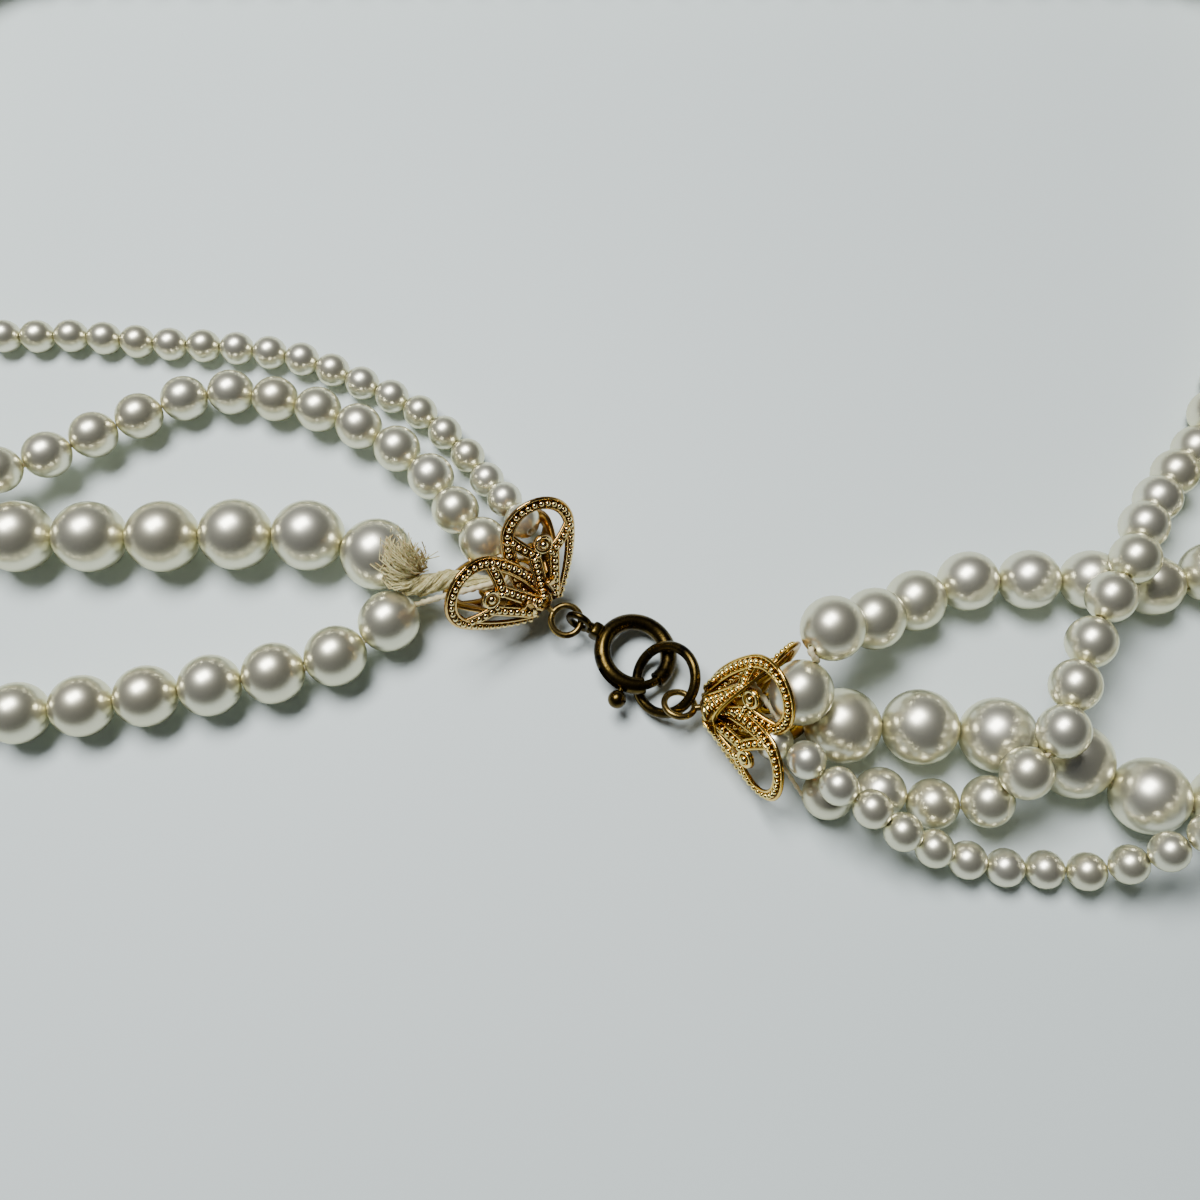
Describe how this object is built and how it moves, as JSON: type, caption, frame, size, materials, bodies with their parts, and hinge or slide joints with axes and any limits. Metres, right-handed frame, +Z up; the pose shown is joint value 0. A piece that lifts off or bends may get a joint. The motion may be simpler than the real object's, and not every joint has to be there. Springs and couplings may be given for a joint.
{
  "type": "multi strand necklace",
  "caption": "Necklace of graded imitation pearl strands joined by pierced petal bead caps and a spring ring clasp, lying closed as a whole loop.",
  "frame": {"origin": "bottom centre of the necklace's box, on the table it lies on", "axes": "+Z up from the table, +X to the right and +Y away from the clasp, which lies at the front of the loop near -Y"},
  "size_m": [0.1605, 0.1085, 0.0113],
  "materials": {
    "pearl": "glossy pearl lacquer over a moulded glass bead",
    "cap_gold": "worn gold plating, stamped and pierced, darkened in the recesses",
    "pin_wire": "drawn wire, lightly tarnished",
    "clasp_brass": "antiqued brass, brown-black with brassy edges",
    "thread": "twisted cotton or silk stringing thread, frayed"
  },
  "bodies": {
    "necklace": {"left_cap": "cap_gold", "right_cap": "cap_gold", "left_eye_pin": "pin_wire", "right_eye_pin": "pin_wire", "spring_ring": "clasp_brass", "jump_ring": "clasp_brass", "left_knot": "thread", "right_knot": "thread", "frayed_thread": "thread", "strand_a": "pearl", "strand_b": "pearl", "strand_c": "pearl", "strand_d": "pearl", "thread_b": "thread", "thread_c": "thread", "thread_d": "thread"},
    "gate": {"spring_gate": "clasp_brass"}
  },
  "joints": [
    {"name": "gate_slide", "type": "hinge", "parent": "necklace", "child": "gate", "pos_m": [0.00293, -0.03525, 0.00163], "axis": [-0.2111, -0.0727, -0.9748], "range_deg": [0, 34], "stiffness_Nm_per_rad": 0.0005, "springref_deg": -17.19}
  ]
}
